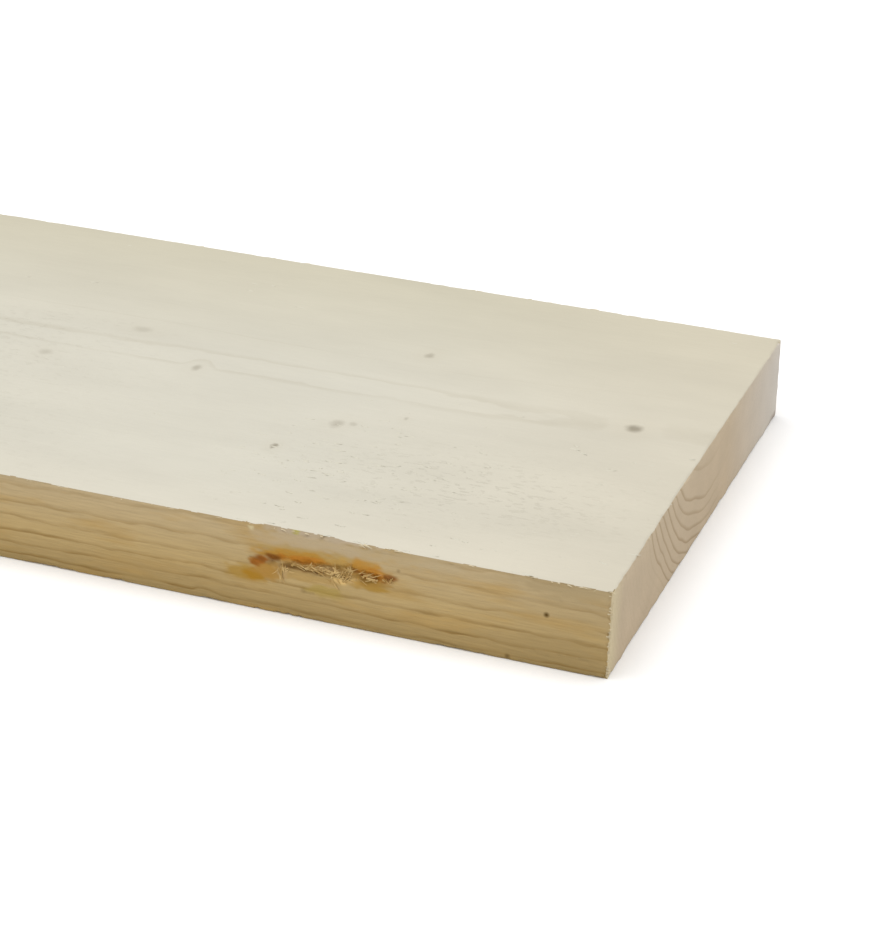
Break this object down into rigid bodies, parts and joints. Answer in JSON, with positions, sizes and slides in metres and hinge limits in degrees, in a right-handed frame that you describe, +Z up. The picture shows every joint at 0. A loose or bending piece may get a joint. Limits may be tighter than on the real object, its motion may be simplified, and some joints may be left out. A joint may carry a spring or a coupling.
{
  "type": "sawn softwood board",
  "caption": "Rough-sawn softwood board with square-cut ends and an open resin pocket in one edge, laid flat or on edge as boarding, shelving, formwork or framing.",
  "frame": {"origin": "middle of the underside, at the centre of the box's bottom", "axes": "+X along the length and the grain, +Y across the width away from the edge with the resin pocket, +Z up through the thickness"},
  "size_m": [1.8, 0.15, 0.022],
  "materials": {
    "sawn_spruce": "rough-sawn, unfinished"
  },
  "bodies": {
    "root": {"plank": "sawn_spruce"}
  },
  "joints": []
}
